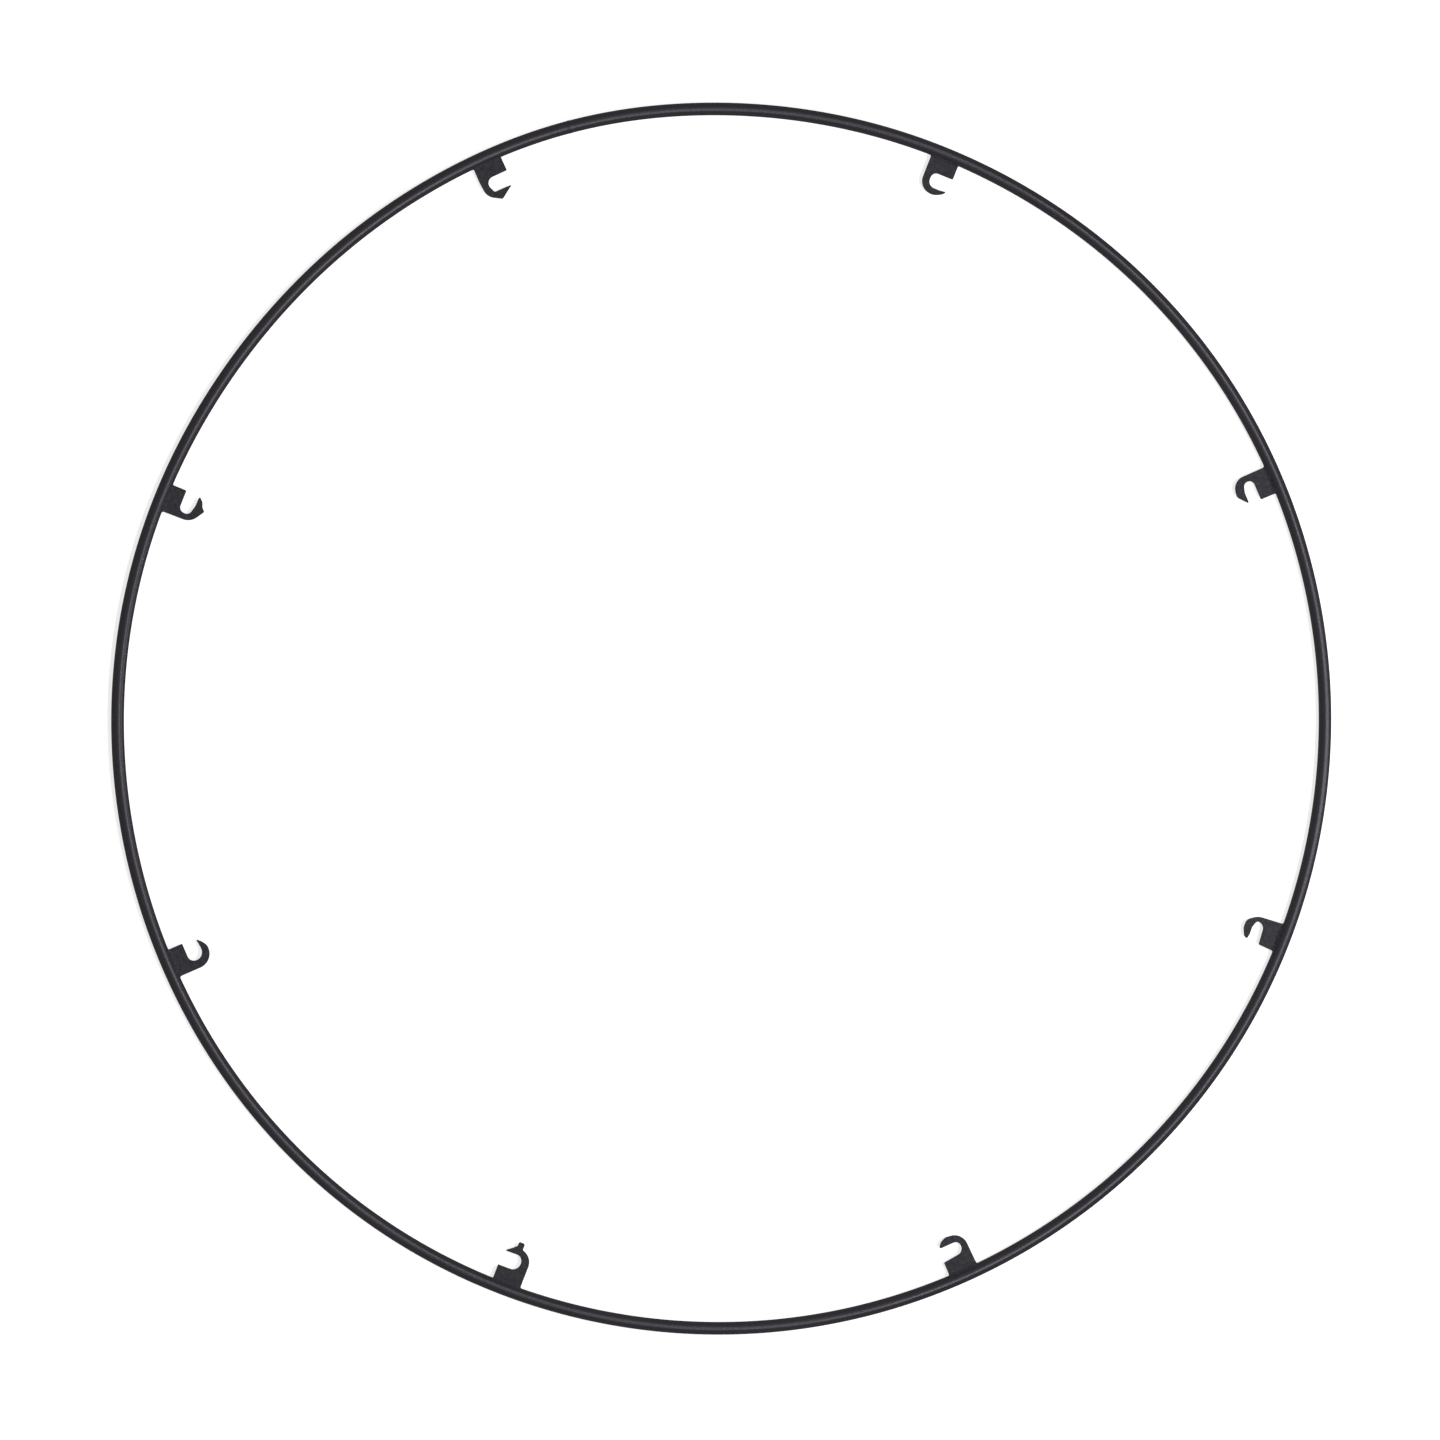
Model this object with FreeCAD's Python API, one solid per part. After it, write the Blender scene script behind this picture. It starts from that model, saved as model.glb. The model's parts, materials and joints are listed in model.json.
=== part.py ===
import FreeCAD, Part
import math
import os

# Net rim of a roundnet game: one hoop of round steel bar with flat hooks welded inside it.
# Lengths are in millimetres and angles in degrees. +Z is up, and the origin is the hoop's
# centre on the surface that the hoop lies on. Seen from above, every hook opens clockwise.

# Hoop
hoop_outer_diameter = 914.4
bar_diameter = 9.525
butt_weld_length = 3.0      # along the bar
butt_weld_angle = 104.0     # anticlockwise from +X

# Hooks, cut from sheet
hook_count = 8
first_hook_angle = 22.5     # anticlockwise from +X
plate_thickness = 3.0
land_depth = 11.2           # from the bar to the slot's wall beside it
land_width = 21.4           # along the bar
seat_radius = 5.5           # the slot is twice as wide
crown_thickness = 5.2       # metal round the outside of the seat
lip_straight = 3.0          # slot wall from the seat's centre to where the lip curls in
lip_curl_radius = 32.0
tip_radius = 0.6

# Torn remains of the tabs that held the hooks in their sheet: some hooks keep a tapered root
# on the crown, and one of them a neck beyond it
hooks_with_root = (3, 4, 6)
hook_with_neck = 6
root_length = 1.2
root_width = 12.0
neck_length = 2.9
neck_width = 3.0

# Weld beads on both faces of every hook, rounded past the sides of its plate
bead_radius = 2.1
bead_overrun = 1.3

bar_radius = bar_diameter / 2
hoop_radius = hoop_outer_diameter / 2 - bar_radius
seat_inward = bar_radius + land_depth + seat_radius
crown_radius = seat_radius + crown_thickness
spine_side = -crown_radius
land_side = land_width - crown_radius
plate_bottom = bar_radius - plate_thickness / 2

centre = FreeCAD.Vector(0, 0, 0)
up = FreeCAD.Vector(0, 0, 1)


# A point of the hook that stands at the hoop's -X side: inward from the bar's centre line,
# and along the bar from the seat's centre towards the mouth.
def hook_point(inward, along, height=plate_bottom):
    return FreeCAD.Vector(inward - hoop_radius, along, height)


# The point at a distance from one point towards another.
def towards(start, target, distance):
    direction = (target - start).normalize()
    return start + direction * distance


# The point at two given distances from two points, on the right of the line between them.
def meeting_point(first, first_distance, second, second_distance):
    gap = second.distanceToPoint(first)
    along = (first_distance ** 2 - second_distance ** 2 + gap ** 2) / (2 * gap)
    aside = math.sqrt(first_distance ** 2 - along ** 2)
    direction = (second - first).normalize()
    right = direction.cross(up)
    return first + direction * along + right * aside


def line(start, end):
    return Part.LineSegment(start, end).toShape()


def arc(start, middle, end):
    return Part.Arc(start, middle, end).toShape()


def bar_section(start_angle, sweep):
    middle = FreeCAD.Vector(0, 0, bar_radius)
    bar = Part.makeTorus(hoop_radius, bar_radius, middle, up, 0, 360, sweep)
    bar.rotate(centre, up, start_angle)
    return bar


# The outline starts inside the bar, which trims it. The lip's inner wall curls towards the bar
# from where the slot's straight wall ends, and a small round joins that wall to the crown.
def plate_outline():
    seat = hook_point(seat_inward, 0)
    near_wall = seat_inward - seat_radius
    far_wall = seat_inward + seat_radius
    curl = hook_point(far_wall - lip_curl_radius, lip_straight)
    tip = meeting_point(seat, crown_radius - tip_radius, curl, lip_curl_radius + tip_radius)
    tip_outside = towards(seat, tip, crown_radius)
    tip_inside = towards(curl, tip, lip_curl_radius)
    tip_end = towards(tip, (tip_outside + tip_inside) / 2, tip_radius)
    curl_start = hook_point(far_wall, lip_straight)
    curl_middle = towards(curl, (curl_start + tip_inside) / 2, lip_curl_radius)
    spine_end = hook_point(seat_inward, spine_side)
    crown_middle = towards(seat, (spine_end + tip_outside) / 2, crown_radius)
    seat_start = hook_point(far_wall, 0)
    seat_bottom = hook_point(seat_inward, -seat_radius)
    seat_end = hook_point(near_wall, 0)
    land_corner = hook_point(near_wall, land_side)
    edges = [
        line(hook_point(0, land_side), hook_point(0, spine_side)),
        line(hook_point(0, spine_side), spine_end),
        arc(spine_end, crown_middle, tip_outside),
        arc(tip_outside, tip_end, tip_inside),
        arc(tip_inside, curl_middle, curl_start),
        line(curl_start, seat_start),
        arc(seat_start, seat_bottom, seat_end),
        line(seat_end, land_corner),
        line(land_corner, hook_point(0, land_side)),
    ]
    return Part.Wire(edges)


# The root tapers from the crown to the neck's width, where the tab broke off, or where its
# round-ended neck goes on.
def tab_remains(has_neck):
    root_start = seat_inward + math.sqrt(crown_radius ** 2 - (root_width / 2) ** 2)
    root_end = seat_inward + crown_radius + root_length
    neck_radius = neck_width / 2
    taper = Part.makePolygon([
        hook_point(root_start, -root_width / 2),
        hook_point(root_end, -neck_radius),
        hook_point(root_end, neck_radius),
        hook_point(root_start, root_width / 2),
        hook_point(root_start, -root_width / 2),
    ])
    remains = Part.Face(taper).extrude(up * plate_thickness)
    if has_neck:
        round_centre = root_end + neck_length - neck_radius
        corner = hook_point(root_start, -neck_radius)
        neck = Part.makeBox(round_centre - root_start, neck_width, plate_thickness, corner)
        end = Part.makeCylinder(neck_radius, plate_thickness, hook_point(round_centre, 0), up)
        remains = remains.fuse([neck, end])
    return remains


def hook_plate(number, bar):
    plate = Part.Face(plate_outline()).extrude(up * plate_thickness)
    if number in hooks_with_root:
        plate = plate.fuse(tab_remains(number == hook_with_neck)).removeSplitter()
    return plate.cut(bar)


# A rod with round ends, revolved in one piece about the line between the centres of its ends.
# That line runs along +Y.
def round_ended_rod(start, end, radius):
    side = FreeCAD.Vector(radius, 0, 0)
    along = FreeCAD.Vector(0, radius, 0)
    diagonal = math.sqrt(0.5)
    section = Part.Wire([
        arc(start - along, start + (side - along) * diagonal, start + side),
        line(start + side, end + side),
        arc(end + side, end + (side + along) * diagonal, end + along),
        line(end + along, start - along),
    ])
    return Part.Face(section).revolve(start, along, 360)


# A bead lies along the corner between a face of the plate and the bar. Only its half on that
# side of the bar's middle is kept: past the plate's sides it meets the other face's bead.
def weld_bead(plate, bar, side):
    corner_inward = math.sqrt(bar_radius ** 2 - (plate_thickness / 2) ** 2)
    corner_height = bar_radius + side * plate_thickness / 2
    end_inset = bead_radius - bead_overrun
    start = hook_point(corner_inward, spine_side + end_inset, corner_height)
    end = hook_point(corner_inward, land_side - end_inset, corner_height)
    bead = round_ended_rod(start, end, bead_radius)
    reach = land_width + 2 * bead_radius
    other_half = Part.makeBox(2 * reach, 2 * reach, reach)
    other_half.translate(hook_point(-reach, -reach, bar_radius - reach * (1 + side) / 2))
    return bead.cut(other_half).cut(bar).cut(plate)


def write_node(name, shape):
    if len(shape.Solids) != 1 or not shape.isValid():
        raise RuntimeError(f"{name}: {len(shape.Solids)} solids, valid {shape.isValid()}")
    shape.Solids[0].exportStep(f"parts/{name}.step")


def build():
    os.makedirs("parts", exist_ok=True)
    weld_sweep = math.degrees(butt_weld_length / hoop_radius)
    weld_start = butt_weld_angle - weld_sweep / 2
    write_node("rim_butt_weld", bar_section(weld_start, weld_sweep))
    write_node("rim_rod", bar_section(weld_start + weld_sweep, 360 - weld_sweep))

    bar = bar_section(0, 360)
    for number in range(1, hook_count + 1):
        plate = hook_plate(number, bar)
        pieces = {
            f"hook_{number}": plate,
            f"hook_{number}_weld_top": weld_bead(plate, bar, 1),
            f"hook_{number}_weld_bottom": weld_bead(plate, bar, -1),
        }
        turn = first_hook_angle + (number - 1) * 360 / hook_count - 180
        for name, piece in pieces.items():
            piece.rotate(centre, up, turn)
            write_node(name, piece)


build()
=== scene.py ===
import json
import math
import bmesh
import bpy
from mathutils import Matrix, Vector, noise


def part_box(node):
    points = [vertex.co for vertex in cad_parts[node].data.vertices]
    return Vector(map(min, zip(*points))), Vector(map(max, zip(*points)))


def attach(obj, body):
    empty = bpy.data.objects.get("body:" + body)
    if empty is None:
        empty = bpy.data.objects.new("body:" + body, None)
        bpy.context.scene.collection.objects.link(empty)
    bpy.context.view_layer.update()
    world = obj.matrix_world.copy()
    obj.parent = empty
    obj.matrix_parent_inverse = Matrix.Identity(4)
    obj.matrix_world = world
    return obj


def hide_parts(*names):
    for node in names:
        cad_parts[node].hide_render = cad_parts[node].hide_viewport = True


# The rim of a roundnet game: a hoop of round bar with eight flat hooks welded inside it.
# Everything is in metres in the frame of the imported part. A hook's own points are given in
# millimetres: inward from the bar's centre line, and along the bar towards the hook's mouth.

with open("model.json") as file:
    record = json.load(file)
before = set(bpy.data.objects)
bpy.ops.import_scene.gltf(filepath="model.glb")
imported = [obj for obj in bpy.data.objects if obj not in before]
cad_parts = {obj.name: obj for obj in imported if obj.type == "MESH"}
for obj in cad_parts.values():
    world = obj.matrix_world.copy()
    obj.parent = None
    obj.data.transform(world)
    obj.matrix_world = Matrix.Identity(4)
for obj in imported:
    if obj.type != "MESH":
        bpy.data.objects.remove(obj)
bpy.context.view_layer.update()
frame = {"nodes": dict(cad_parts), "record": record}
mm = 0.001
record = frame["record"]
print("frame loaded:", len(frame["nodes"]), "nodes")


# Camera

shot = {
    "lens": 237.5,                      # on a sensor this wide, both in millimetres
    "sensor": 36.0,
    "place": (-0.990, 0.152, 6.985),    # almost overhead, a little to the left
    "aim": (-0.0049, -0.0003, 0.0048),
    "roll": 0.96,                       # degrees
    "farthest": 200.0,
}


def addObject(name, data):
    added = bpy.data.objects.new(name, data)
    bpy.context.collection.objects.link(added)
    return added


def makeCamera():
    cameraData = bpy.data.cameras.new("camera")
    cameraData.lens = shot["lens"]
    cameraData.sensor_width = shot["sensor"]
    cameraData.clip_end = shot["farthest"]
    camera = addObject("camera", cameraData)
    place = Vector(shot["place"])
    forward = (Vector(shot["aim"]) - place).normalized()
    roll = math.radians(shot["roll"])
    right = forward.cross(Vector((math.sin(roll), math.cos(roll), 0))).normalized()
    top = right.cross(forward)
    turn = Matrix((right, top, -forward)).transposed().to_4x4()
    camera.matrix_world = Matrix.Translation(place) @ turn
    bpy.context.scene.camera = camera


makeCamera()
print("camera placed")


# Sizes that come from the frame

rodLow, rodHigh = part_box("rim_rod")
barRadius = (rodHigh.z - rodLow.z) / 2
hoopRadius = (rodHigh.x - rodLow.x) / 2 - barRadius
buttLow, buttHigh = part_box("rim_butt_weld")
buttMiddle = (buttLow + buttHigh) / 2
plateLow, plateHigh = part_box("hook_1")
plateHalf = (plateHigh.z - plateLow.z) / 2
seats = {m["name"].removesuffix("_seat"): Vector(m["pos_m"]) for m in record["mounts"]}

# The hoop was bent by hand and strays a little from a true circle.
bends = [
    {"at": 104, "out": 1.7 * mm, "spread": 13},
    {"at": 142, "out": -1.9 * mm, "spread": 18},
    {"at": 60, "out": -1.2 * mm, "spread": 24},
    {"at": 228, "out": 1.1 * mm, "spread": 26},
    {"at": 335, "out": 0.8 * mm, "spread": 26},
]


def bendAt(angle):
    total = 0.0
    for bend in bends:
        away = (math.degrees(angle) - bend["at"] + 180) % 360 - 180
        total += bend["out"] * math.exp(-(away / bend["spread"]) ** 2)
    return total


# A point of the round hoop, moved to where the bent hoop has it.
def onBentHoop(point):
    angle = math.atan2(point.y, point.x)
    away = math.hypot(point.x, point.y)
    stretch = (away + bendAt(angle)) / away
    return Vector((point.x * stretch, point.y * stretch, point.z))


def finishPiece(name, mesh, material, node):
    piece = addObject(name, mesh)
    mesh.materials.append(material)
    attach(piece, "root")
    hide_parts(node)


# Rings of points, joined into one closed skin with a flat cap at each end. Each ring has a
# number for how sharp an edge it lies on, which the coats read for their wear.
def skinOfRings(name, rings, edgeOf):
    skin = bmesh.new()
    edgeLayer = skin.verts.layers.float.new("edge")
    rows = []
    for ring, edge in zip(rings, edgeOf):
        row = [skin.verts.new(point) for point in ring]
        for vert in row:
            vert[edgeLayer] = edge
        rows.append(row)
    for lower, upper in zip(rows, rows[1:]):
        for k in range(len(lower)):
            after = (k + 1) % len(lower)
            skin.faces.new((lower[k], lower[after], upper[after], upper[k]))
    caps = [skin.faces.new(list(reversed(rows[0]))), skin.faces.new(rows[-1])]
    for face in skin.faces:
        face.smooth = True
    for face in caps:
        for side in face.edges:
            side.smooth = False    # so that the skin is shaded as if it went straight on
    bmesh.ops.recalc_face_normals(skin, faces=skin.faces)
    mesh = bpy.data.meshes.new(name)
    skin.to_mesh(mesh)
    skin.free()
    return mesh


# Coats: dark powder baked on steel, with its soft orange peel and grain. On the bar it lies under
# a smoked clear layer that is longer to look through, and so darker, towards the bar's edges.

def coat(name, look):
    material = bpy.data.materials.new(name)
    material.use_nodes = True
    nodes, links = material.node_tree.nodes, material.node_tree.links
    shader = nodes["Principled BSDF"]
    shader.inputs["Specular IOR Level"].default_value = look["gloss"]
    shader.inputs["Specular Tint"].default_value = (*look["glossTint"], 1)
    shader.inputs["Coat Weight"].default_value = look["smokeWeight"]
    shader.inputs["Coat IOR"].default_value = look["smokeIor"]
    shader.inputs["Coat Roughness"].default_value = look["smokeRoughness"]
    shader.inputs["Coat Tint"].default_value = (*look["smoke"], 1)
    place = nodes.new("ShaderNodeTexCoord").outputs["Object"]

    def cloud(scale, detail):
        texture = nodes.new("ShaderNodeTexNoise")
        texture.inputs["Scale"].default_value = scale
        texture.inputs["Detail"].default_value = detail
        links.new(place, texture.inputs["Vector"])
        return texture.outputs["Fac"]

    def spread(value, low, high, span=look["noiseSpan"]):
        ramp = nodes.new("ShaderNodeMapRange")
        ramp.inputs["From Min"].default_value, ramp.inputs["From Max"].default_value = span
        ramp.inputs["To Min"].default_value = low
        ramp.inputs["To Max"].default_value = high
        links.new(value, ramp.inputs["Value"])
        return ramp.outputs["Result"]

    def blend(share, first, second):
        mix = nodes.new("ShaderNodeMix")
        mix.data_type = "RGBA"
        links.new(share, mix.inputs["Factor"])
        for socket, colour in zip((mix.inputs["A"], mix.inputs["B"]), (first, second)):
            if isinstance(colour, tuple):
                socket.default_value = (*colour, 1)
            else:
                links.new(colour, socket)
        return mix.outputs["Result"]

    def multiply(first, second):
        node = nodes.new("ShaderNodeMath")
        node.operation = "MULTIPLY"
        links.new(first, node.inputs[0])
        links.new(second, node.inputs[1])
        return node.outputs[0]

    drift = cloud(look["driftScale"], detail=2)
    peel = cloud(look["peelScale"], detail=1)
    grain = cloud(look["grainScale"], detail=3)
    rub = cloud(look["rubScale"], detail=4)
    edge = nodes.new("ShaderNodeAttribute")
    edge.attribute_name = "edge"
    worn = multiply(edge.outputs["Fac"], spread(rub, 0, look["wear"], look["wearSpan"]))

    # Pale dots scattered at random over the coat: a round dot where the surface meets a cell's middle
    dotCells = nodes.new("ShaderNodeTexVoronoi")
    dotCells.inputs["Scale"].default_value = look["paleDotScale"]
    links.new(place, dotCells.inputs["Vector"])
    dots = spread(dotCells.outputs["Distance"], 1, 0, look["paleDotSpan"])

    colour = blend(spread(drift, 0, 1), look["dark"], look["pale"])
    colour = blend(spread(peel, 0, look["mottle"]), colour, look["speck"])
    colour = blend(spread(grain, 0, look["speckle"], look["speckleSpan"]), colour, look["speck"])
    colour = blend(worn, colour, look["rubbed"])
    colour = blend(dots, colour, look["paleDotColour"])
    links.new(colour, shader.inputs["Base Color"])
    links.new(spread(drift, *look["roughness"]), shader.inputs["Roughness"])

    waves = nodes.new("ShaderNodeBump")
    waves.inputs["Distance"].default_value = look["peelDepth"]
    links.new(peel, waves.inputs["Height"])
    pores = nodes.new("ShaderNodeBump")
    pores.inputs["Distance"].default_value = look["grainDepth"]
    links.new(grain, pores.inputs["Height"])
    links.new(waves.outputs["Normal"], pores.inputs["Normal"])
    links.new(pores.outputs["Normal"], shader.inputs["Normal"])
    return material


coatLook = {
    "noiseSpan": (0.3, 0.7),        # where nearly all of a noise lies
    "dark": (0.0114, 0.0110, 0.0126),
    "pale": (0.0198, 0.0191, 0.0216),
    "speck": (0.079, 0.076, 0.087),
    "speckle": 0.35,
    "speckleSpan": (0.5, 0.8),
    "mottle": 0.06,
    "rubbed": (0.140, 0.137, 0.148),
    "wear": 0.5,
    "wearSpan": (0.45, 0.75),
    # pale dots scattered at random over every coat
    "paleDotColour": (0.36, 0.35, 0.37),
    "paleDotScale": 62.0,
    "paleDotSpan": (0.018, 0.03),      # a dot's full and faded radius, as shares of a cell
    "smokeWeight": 1.0,
    "smoke": (0.490, 0.477, 0.505),
    "smokeIor": 1.02,
    "smokeRoughness": 0.4,
    "gloss": 0.54,
    "glossTint": (0.96, 0.93, 1.0),
    "roughness": (0.32, 0.38),
    "driftScale": 9.0,
    "peelScale": 430.0,
    "peelDepth": 0.08 * mm,
    "grainScale": 2600.0,
    "grainDepth": 0.006 * mm,
    "rubScale": 260.0,
}
rimCoat = coat("rimCoat", coatLook)
hookLook = {
    **coatLook,
    "dark": (0.0052, 0.0047, 0.0075),
    "pale": (0.0086, 0.0080, 0.0117),
    "mottle": 0.22,
    "smokeWeight": 0.0,
    "gloss": 0.18,
    "roughness": (0.64, 0.72),
    "driftScale": 60.0,
}
hookCoat = coat("hookCoat", hookLook)
weldCoat = coat("weldCoat", {**hookLook, "driftScale": 140.0})
print("coats mixed")


# The hoop's bar, and the short butt weld that closes it

rod = {"stepsRound": 720, "sides": 48}
buttWeld = {
    "halfTurn": math.radians(0.19),     # 3 mm long in all
    "steps": 24,
    "rise": 0.14 * mm,
    "ripples": 5,
    "rippleDepth": 0.03 * mm,
}
buttAngle = math.atan2(buttMiddle.y, buttMiddle.x)


def barRing(angle, radius, sides):
    ring = []
    for k in range(sides):
        turn = 2 * math.pi * k / sides
        away = hoopRadius + radius * math.cos(turn)
        height = max(0.0, barRadius + radius * math.sin(turn))    # never under the floor
        point = Vector((away * math.cos(angle), away * math.sin(angle), height))
        ring.append(onBentHoop(point))
    return ring


def makeRod():
    start = buttAngle + buttWeld["halfTurn"]
    sweep = 2 * math.pi - 2 * buttWeld["halfTurn"]
    steps = rod["stepsRound"]
    rings = [barRing(start + sweep * k / steps, barRadius, rod["sides"]) for k in range(steps + 1)]
    mesh = skinOfRings("rim_rod_coated", rings, [0.0] * len(rings))
    finishPiece("rim_rod_coated", mesh, rimCoat, "rim_rod")


# Dressed nearly flush: a low swelling with the last traces of its ripples.
def makeButtWeld():
    rings = []
    steps, halfTurn = buttWeld["steps"], buttWeld["halfTurn"]
    for k in range(steps + 1):
        share = k / steps
        swell = math.sin(math.pi * share)
        ripple = math.sin(2 * math.pi * buttWeld["ripples"] * share)
        rise = buttWeld["rise"] * swell + buttWeld["rippleDepth"] * ripple * swell
        angle = buttAngle - halfTurn + 2 * halfTurn * share
        rings.append(barRing(angle, barRadius + rise, rod["sides"]))
    mesh = skinOfRings("rim_butt_weld_dressed", rings, [0.0] * len(rings))
    finishPiece("rim_butt_weld_dressed", mesh, rimCoat, "rim_butt_weld")


makeRod()
makeButtWeld()
print("hoop made")


# Hooks. No two were cut and bent quite alike. spine and land are the plate's sides at the bar.
# The corners go from there round the crown to the lip's tip, and back round the slot to its
# mouth. The third number of each is the radius that it is rounded to.

plate = {
    "start": 3.3,          # inside the bar, where the weld has melted it in
    "edgeRound": 0.38,
    "edgeSteps": 4,
    "rim": 0.04,           # flat band inside the rounded edge
    "arcStep": 7,          # degrees
}
hookLooks = {
    "hook_1": {"spine": -10.4, "land": 11.0,
               "crown": [(31.0, -10.3, 9.8), (33.0, 2.3, 4.5)], "tip": (26.4, 10.1, 0.6),
               "slot": [(26.3, 1.0, 5.0), (24.3, -5.5, 4.0), (16.8, -5.5, 4.3)],
               "mouth": (16.9, 10.8, 0.5)},
    "hook_2": {"spine": -10.8, "land": 10.9,
               "crown": [(31.7, -10.9, 10.2), (31.8, 2.2, 11.0), (29.0, 7.5, 3.0)],
               "tip": (26.1, 10.0, 0.6),
               "slot": [(27.0, 4.5, 3.0), (27.0, -5.4, 5.2), (15.8, -5.4, 4.7)],
               "mouth": (15.8, 10.8, 0.7)},
    "hook_3": {"spine": -10.9, "land": 11.0,
               "crown": [(16.0, -10.95, 60.0), (27.5, -9.8, 9.8), (33.5, 0.2, 0.6)],
               "tip": (26.5, 10.7, 0.45),
               "slot": [(26.4, -3.4, 1.5), (15.7, -7.6, 4.8)],
               "mouth": (15.5, 11.3, 0.5)},
    "hook_4": {"spine": -10.5, "land": 10.5,
               "crown": [(27.3, -10.2, 10.7), (33.6, 0.15, 0.6), (33.3, 1.0, 0.5), (31.3, 3.0, 0.8),
                         (29.9, 6.6, 4.0)],
               "tip": (26.3, 10.1, 0.65),
               "slot": [(26.1, 2.0, 6.0), (24.1, -5.7, 4.0), (15.8, -5.7, 4.4)],
               "mouth": (15.7, 10.4, 0.9)},
    "hook_5": {"spine": -10.8, "land": 10.7,
               "crown": [(32.4, -10.9, 11.1), (32.5, 2.5, 6.0), (29.9, 6.4, 3.0)],
               "tip": (26.4, 9.8, 0.5),
               "slot": [(27.4, 3.0, 6.0), (27.3, -4.7, 6.0), (15.9, -4.7, 5.0)],
               "mouth": (15.9, 10.7, 0.5)},
    "hook_6": {"spine": -10.8, "land": 10.7,
               "crown": [(28.3, -10.8, 10.5), (31.9, -2.3, 0.8), (36.6, -2.3, 1.3), (36.6, 2.1, 1.3),
                         (33.3, 2.2, 1.0), (30.9, 4.8, 3.0)],
               "tip": (26.9, 10.1, 0.5),
               "slot": [(27.2, -4.8, 5.2), (15.5, -4.8, 6.0)],
               "mouth": (15.5, 10.8, 0.5)},
    "hook_7": {"spine": -11.2, "land": 11.2,
               "crown": [(30.3, -10.2, 10.2), (32.2, 2.6, 5.0), (30.3, 7.1, 4.0)],
               "tip": (26.1, 10.7, 0.9),
               "slot": [(26.3, -5.6, 4.6), (16.8, -5.6, 5.1)],
               "mouth": (15.2, 11.1, 0.8)},
    "hook_8": {"spine": -11.4, "land": 10.7,
               "crown": [(24.9, -9.6, 12.0), (32.0, -4.2, 5.5), (32.1, 2.0, 6.0), (29.6, 7.5, 1.5)],
               "tip": (27.0, 9.5, 0.9),
               "slot": [(26.1, 5.5, 4.0), (26.3, -0.3, 5.0), (24.6, -5.8, 2.4), (18.0, -5.8, 5.2)],
               "mouth": (16.7, 10.0, 1.1)},
}


# A closed outline through corners that are each rounded to a radius, as a list of points.
def roundedOutline(corners):
    points = []
    for k, (x, y, radius) in enumerate(corners):
        corner = Vector((x, y))
        before = (Vector(corners[k - 1][:2]) - corner).normalized()
        after = (Vector(corners[(k + 1) % len(corners)][:2]) - corner).normalized()
        if radius == 0:
            points.append(corner)
            continue
        halfOpening = before.angle(after) / 2
        reach = radius / math.tan(halfOpening)
        centre = corner + (before + after).normalized() * (radius / math.sin(halfOpening))
        start = corner + before * reach - centre
        sweep = -start.angle_signed(corner + after * reach - centre)
        steps = max(2, math.ceil(abs(math.degrees(sweep)) / plate["arcStep"]))
        for step in range(steps + 1):
            points.append(centre + Matrix.Rotation(sweep * step / steps, 2) @ start)
    return points


# The plate's spine leans a little: its place at a distance from the bar.
def spineAt(look, inward):
    shoulderInward, shoulderAlong = look["crown"][0][:2]
    return look["spine"] + (shoulderAlong - look["spine"]) * inward / shoulderInward


def hookOutline(look):
    start = plate["start"]
    ends = [(start, look["land"], 0), (start, spineAt(look, start), 0)]
    return roundedOutline([*ends, *look["crown"], look["tip"], *look["slot"], look["mouth"]])


# The outline drawn in by a distance, square to itself.
def drawnIn(points, distance):
    moved = []
    for k, point in enumerate(points):
        before = (point - points[k - 1]).normalized()
        after = (points[(k + 1) % len(points)] - point).normalized()
        along = (before + after).normalized()
        moved.append(point + Vector((-along.y, along.x)) * distance / along.dot(after))
    return moved


# Which way a hook stands in the hoop. In its own frame the bar is at -X.
def placer(name):
    seat = seats[name]
    turned = Matrix.Rotation(math.atan2(seat.y, seat.x) - math.pi, 3, "Z")

    def place(inward, along, above):
        point = Vector((inward * mm - hoopRadius, along * mm, barRadius + above * mm))
        return onBentHoop(turned @ point)

    return place


def makeHook(name):
    place = placer(name)
    outline = hookOutline(hookLooks[name])
    half = plateHalf / mm
    edgeRound = plate["edgeRound"]
    layers = [(edgeRound + plate["rim"], half, 0.0)]
    for step in range(plate["edgeSteps"] + 1):
        turn = math.pi / 2 * step / plate["edgeSteps"]
        inset = edgeRound * (1 - math.sin(turn))
        layers.append((inset, half - edgeRound * (1 - math.cos(turn)), math.sin(2 * turn)))
    layers = [(inset, -height, edge) for inset, height, edge in layers] + layers[::-1]
    rings = [[place(p.x, p.y, height) for p in drawnIn(outline, inset)] for inset, height, edge in layers]
    mesh = skinOfRings(f"{name}_plate", rings, [edge for inset, height, edge in layers])
    finishPiece(f"{name}_plate", mesh, hookCoat, name)


for name in hookLooks:
    makeHook(name)
print("hooks made")


# Welds. A fillet runs round the foot of every plate, half of it in each weld: up one side,
# across the face and down the other side, as broad as its legs on the bar and on the plate.

fillet = {
    "faceLegs": (2.3, 2.2),     # on the bar, on the plate
    "spineLegs": (1.4, 1.4),
    "landLegs": (1.0, 1.0),
    "uneven": 0.12,             # share by which the legs wander
    "wanderScale": 0.35,
    "seedStep": 7.3,            # from one hook to the next
    "ripplePitch": 1.25,
    "rippleDepth": 0.07,
    "rippleLean": 0.35,         # how far a ripple's middle lies ahead, in ripples
    "faceStep": 0.2,
    "cornerSteps": 6,           # round the plate's edge
    "steps": 9,                 # from the bar to the plate
    "fullness": 0.55,           # how far the surface is pulled to the corner
    "slopeStep": 0.01,          # share of the leg that shows the bar's slope there
    "sunk": 0.05,               # the weld's borders, under what they lie on
    "rootDepth": 0.5,           # the weld's back, inside the corner
    "wear": 0.15,
}


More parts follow.
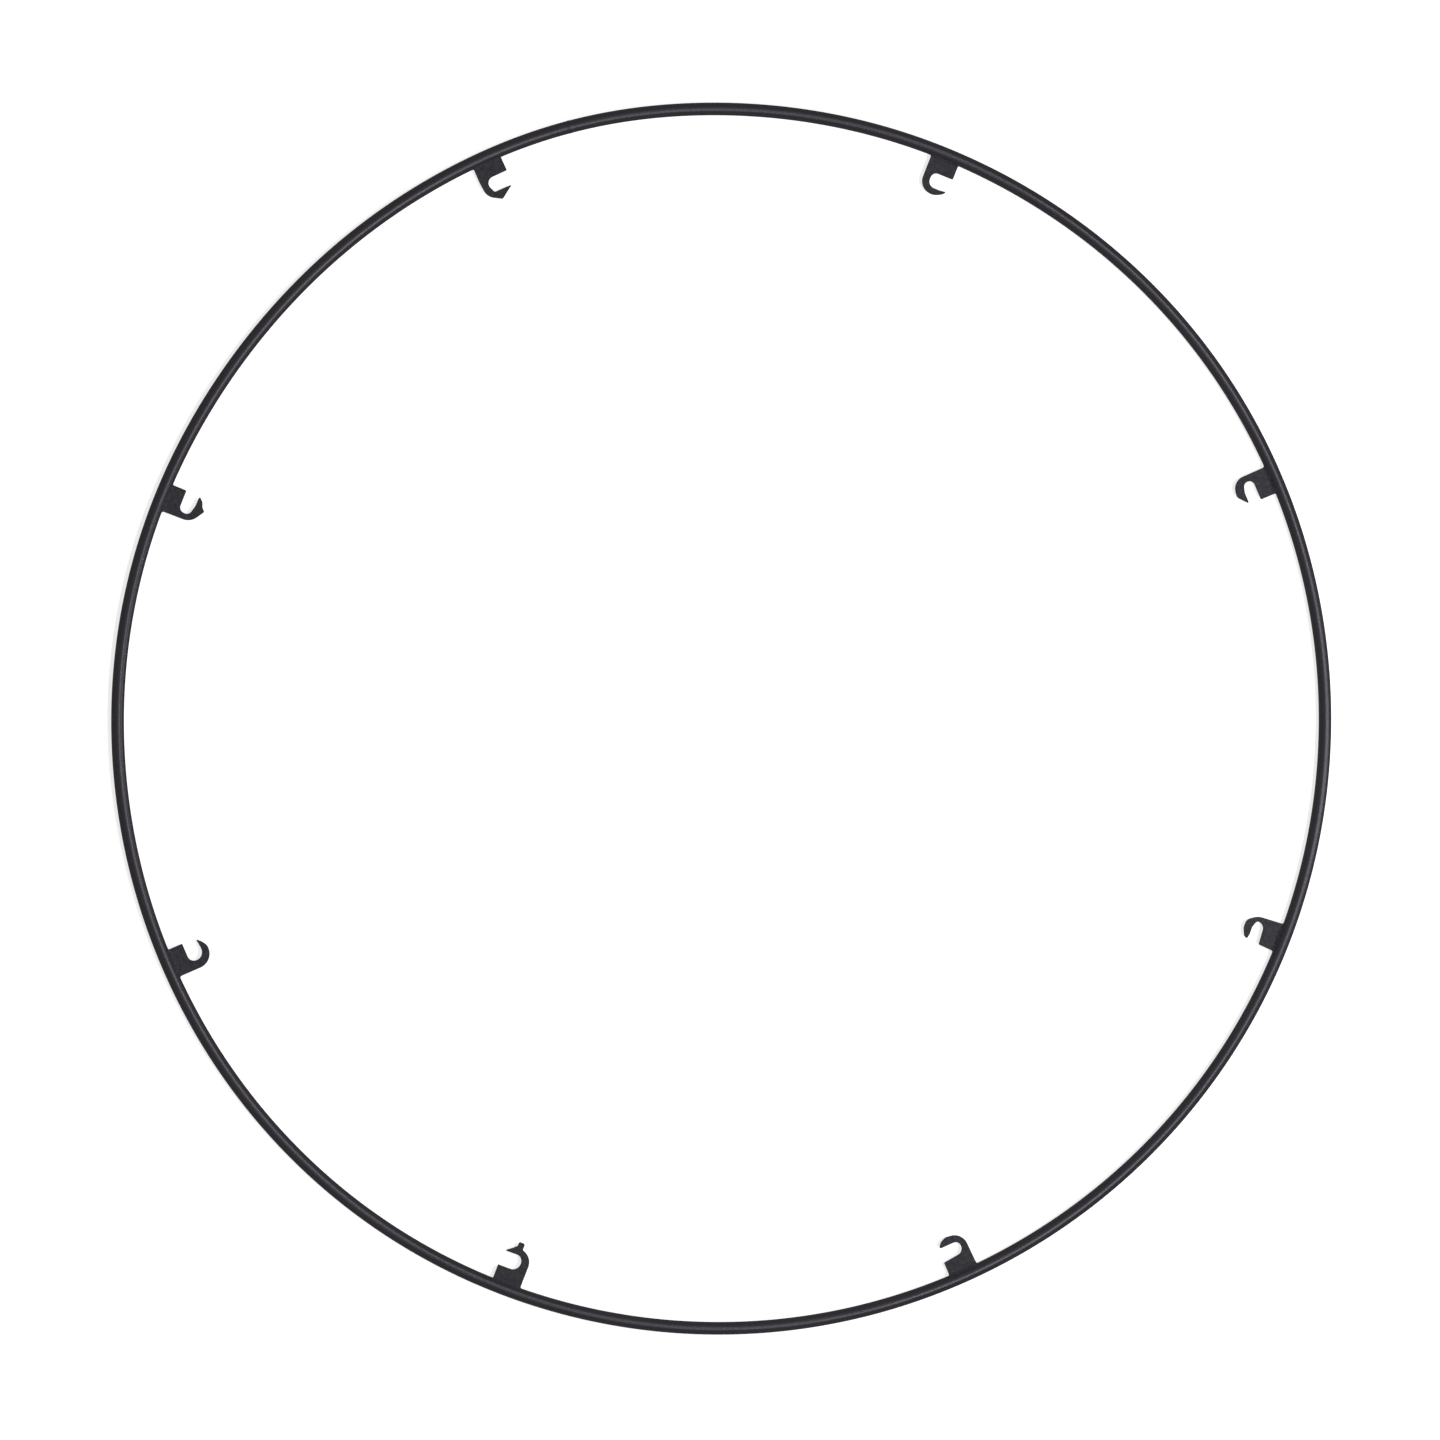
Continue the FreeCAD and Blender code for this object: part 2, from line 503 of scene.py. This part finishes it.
# Half of the plate's section at its foot, from the spine's middle over one face to the land's
# middle: a point along and above, and the direction away from the plate.
def footContour(look):
    inward = barRadius / mm
    spine, land = spineAt(look, inward), look["land"]
    half = plateHalf / mm
    edgeRound, steps = plate["edgeRound"], fillet["cornerSteps"]
    contour = [(spine, above, -1, 0) for above in (0, (half - edgeRound) / 2)]
    for step in range(steps + 1):
        turn = math.pi / 2 * step / steps
        contour.append((spine + edgeRound * (1 - math.cos(turn)),
                        half - edgeRound * (1 - math.sin(turn)), -math.cos(turn), math.sin(turn)))
    count = round((land - spine) / fillet["faceStep"])
    for step in range(1, count):
        contour.append((spine + edgeRound + (land - spine - 2 * edgeRound) * step / count, half, 0, 1))
    for step in reversed(range(steps + 1)):
        turn = math.pi / 2 * step / steps
        contour.append((land - edgeRound * (1 - math.cos(turn)),
                        half - edgeRound * (1 - math.sin(turn)), math.cos(turn), math.sin(turn)))
    contour += [(land, above, 1, 0) for above in ((half - edgeRound) / 2, 0)]
    return contour


# A point of the straightened hoop's skin: turned by an angle along the hoop and round the bar.
def barSkin(alongTurn, roundTurn, radius):
    away = hoopRadius / mm - radius * math.cos(roundTurn)
    return Vector((hoopRadius / mm - away * math.cos(alongTurn), away * math.sin(alongTurn),
                   radius * math.sin(roundTurn)))


def makeWeld(name, side):
    look = hookLooks[name]
    place = placer(name)
    radius = barRadius / mm
    seed = int(name[-1]) * fillet["seedStep"] + side
    rings, edgeOf = [], []
    for along, above, sideways, upward in footContour(look):
        wander = 1 + fillet["uneven"] * noise.noise(Vector((along * fillet["wanderScale"], seed, 0)))
        sideLegs = fillet["spineLegs"] if along < 0 else fillet["landLegs"]
        face = upward * upward
        barLeg, plateLeg = [(low + (high - low) * face) * wander
                            for low, high in zip(sideLegs, fillet["faceLegs"])]
        roundTurn = math.asin(above / radius)
        away = hoopRadius / mm - radius * math.cos(roundTurn)
        alongTurn = math.asin(along / away)
        corner = barSkin(alongTurn, roundTurn, radius)
        alongLeg, roundLeg = sideways * barLeg / away, upward * barLeg / radius
        almost = 1 - fillet["slopeStep"]
        onBar = barSkin(alongTurn + alongLeg, roundTurn + roundLeg, radius)
        nearBar = barSkin(alongTurn + alongLeg * almost, roundTurn + roundLeg * almost, radius)
        barPull = (nearBar - onBar).normalized() * barLeg * fillet["fullness"]
        onPlate = corner + Vector((plateLeg, 0, 0))
        platePull = Vector((-plateLeg * fillet["fullness"], 0, 0))
        outward = ((onBar + onPlate) / 2 - corner).normalized()
        ring = []
        for step in range(fillet["steps"] + 1):
            share = step / fillet["steps"]
            rest = 1 - share
            point = (onBar * rest ** 3 + (onBar + barPull) * 3 * rest ** 2 * share
                     + (onPlate + platePull) * 3 * rest * share ** 2 + onPlate * share ** 3)
            swell = math.sin(math.pi * share)
            phase = 2 * math.pi * (along / fillet["ripplePitch"] + fillet["rippleLean"] * swell) + seed
            point += outward * fillet["rippleDepth"] * math.cos(phase) * swell * face
            point -= outward * fillet["sunk"] * (1 - swell)
            ring.append(point)
        ring.append(corner - outward * fillet["rootDepth"])
        rings.append([place(p.x, p.y, side * p.z) for p in ring])
        edgeOf.append(fillet["wear"])
    part = "top" if side > 0 else "bottom"
    piece = f"{name}_weld_{part}_fillet"
    mesh = skinOfRings(piece, rings, edgeOf)
    finishPiece(piece, mesh, weldCoat, f"{name}_weld_{part}")


for name in hookLooks:
    makeWeld(name, 1)
    makeWeld(name, -1)
print("welds made")


# Floor, daylight and lamps. The lamps point at the hoop's middle, and the camera doesn't see them.

stage = {
    "floorReach": 60.0,
    "floorDrop": 0.05 * mm,    # below the bar, so that the two don't touch
    "floorPale": 0.50,         # how much lamp light the floor gives back
    "floorGlow": (0.78, 1.0),  # and what it shows by itself, near the hoop and far off
    "glowReach": (0.8, 3.0),   # distances at which it does so
    "daylight": 0.12,
}
lamps = {
    "softboxFront": {"place": (2.1, -2.0, 6.2), "size": (1.2, 1.2), "power": 190.0},
    "softboxBack": {"place": (2.6, 0.8, 6.2), "size": (1.1, 1.1), "power": 158.0},
    "stripRight": {"place": (1.19, -0.13, 0.8), "size": (0.25, 0.74), "power": 7.2},
}


# One where the camera, a reflection or a clear layer looks, and zero for light that bounces.
def whereSeen(nodes, links):
    rays = nodes.new("ShaderNodeLightPath")
    total = rays.outputs["Is Camera Ray"]
    for kind in ("Is Glossy Ray", "Is Transmission Ray"):
        add = nodes.new("ShaderNodeMath")
        add.operation = "ADD"
        add.use_clamp = True
        links.new(total, add.inputs[0])
        links.new(rays.outputs[kind], add.inputs[1])
        total = add.outputs[0]
    return total


def makeFloor():
    reach = stage["floorReach"]
    skin = bmesh.new()
    corners = [(-reach, -reach), (reach, -reach), (reach, reach), (-reach, reach)]
    skin.faces.new([skin.verts.new((x, y, -stage["floorDrop"])) for x, y in corners])
    mesh = bpy.data.meshes.new("floor")
    skin.to_mesh(mesh)
    skin.free()
    floor = addObject("floor", mesh)
    material = bpy.data.materials.new("paleFloor")
    material.use_nodes = True
    nodes, links = material.node_tree.nodes, material.node_tree.links
    nodes.remove(nodes["Principled BSDF"])
    matte = nodes.new("ShaderNodeBsdfDiffuse")
    matte.inputs["Color"].default_value = (stage["floorPale"],) * 3 + (1,)
    glow = nodes.new("ShaderNodeEmission")
    away = nodes.new("ShaderNodeVectorMath")
    away.operation = "LENGTH"
    links.new(nodes.new("ShaderNodeTexCoord").outputs["Object"], away.inputs[0])
    glowing = nodes.new("ShaderNodeMapRange")
    glowing.interpolation_type = "SMOOTHSTEP"
    glowing.inputs["From Min"].default_value, glowing.inputs["From Max"].default_value = stage["glowReach"]
    glowing.inputs["To Min"].default_value, glowing.inputs["To Max"].default_value = stage["floorGlow"]
    links.new(away.outputs["Value"], glowing.inputs["Value"])
    strength = nodes.new("ShaderNodeMath")
    strength.operation = "MULTIPLY"
    links.new(whereSeen(nodes, links), strength.inputs[0])
    links.new(glowing.outputs["Result"], strength.inputs[1])
    links.new(strength.outputs[0], glow.inputs["Strength"])
    both = nodes.new("ShaderNodeAddShader")
    links.new(matte.outputs[0], both.inputs[0])
    links.new(glow.outputs[0], both.inputs[1])
    links.new(both.outputs[0], nodes["Material Output"].inputs["Surface"])
    mesh.materials.append(material)


def makeDaylight():
    world = bpy.data.worlds.new("daylight")
    bpy.context.scene.world = world
    world.use_nodes = True
    nodes, links = world.node_tree.nodes, world.node_tree.links
    strength = nodes.new("ShaderNodeMapRange")
    strength.inputs["To Min"].default_value = stage["daylight"]
    links.new(whereSeen(nodes, links), strength.inputs["Value"])
    background = nodes["Background"]
    background.inputs["Color"].default_value = (1, 1, 1, 1)
    links.new(strength.outputs["Result"], background.inputs["Strength"])


def makeLamp(name, look):
    lampData = bpy.data.lights.new(name, "AREA")
    lampData.shape = "RECTANGLE"
    lampData.size, lampData.size_y = look["size"]
    lampData.energy = look["power"]
    lamp = addObject(name, lampData)
    lamp.location = look["place"]
    lamp.rotation_euler = (-Vector(look["place"])).to_track_quat("-Z", "Y").to_euler()
    lamp.visible_camera = False


makeFloor()
makeDaylight()
for name, look in lamps.items():
    makeLamp(name, look)
bpy.context.scene.view_settings.view_transform = "Standard"
print("floor and lamps placed")
